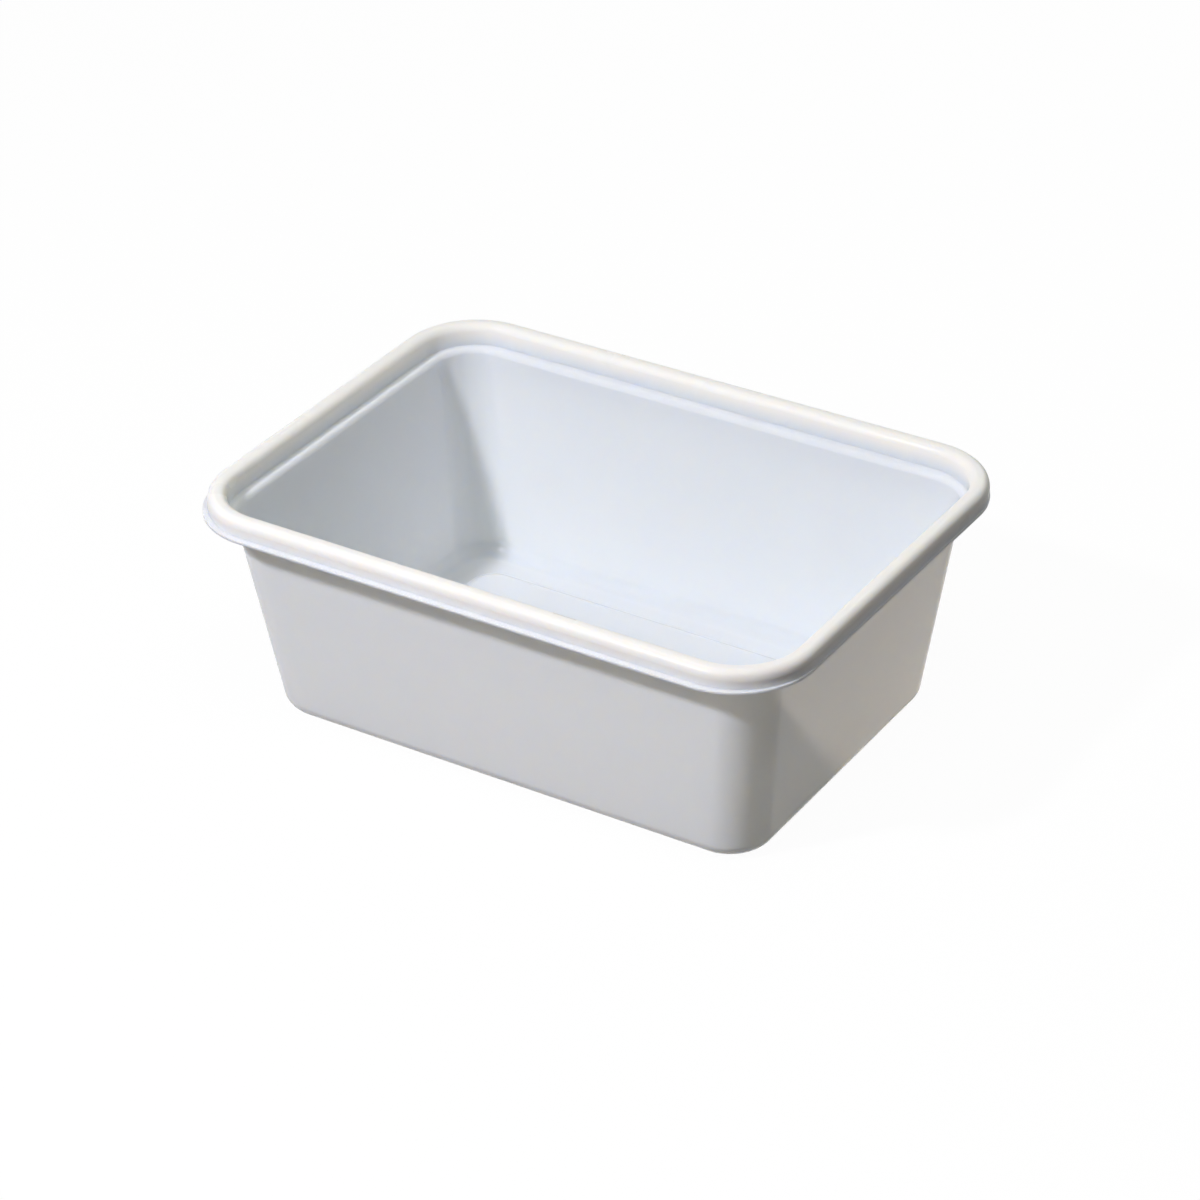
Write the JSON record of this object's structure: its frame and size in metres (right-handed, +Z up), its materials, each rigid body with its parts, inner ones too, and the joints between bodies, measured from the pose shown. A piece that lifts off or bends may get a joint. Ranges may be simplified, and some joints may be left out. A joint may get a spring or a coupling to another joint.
{
  "type": "plastic tray",
  "caption": "Deep rectangular food tray formed from thin white plastic sheet, with leaning walls, rounded corners, a ledge inside and a hollow rolled rim that ends in a thin trimmed lip.",
  "frame": {"origin": "under the middle of the trimmed outline, on the plane that the foot stands on", "axes": "+X along the long side, +Y along the short side, +Z up out of the open top"},
  "size_m": [0.1878, 0.1372, 0.07],
  "materials": {
    "white_sheet": "smooth white polypropylene sheet, glossy inside, slightly softer gloss outside"
  },
  "bodies": {
    "root": {"tray_shell": "white_sheet"}
  },
  "joints": []
}
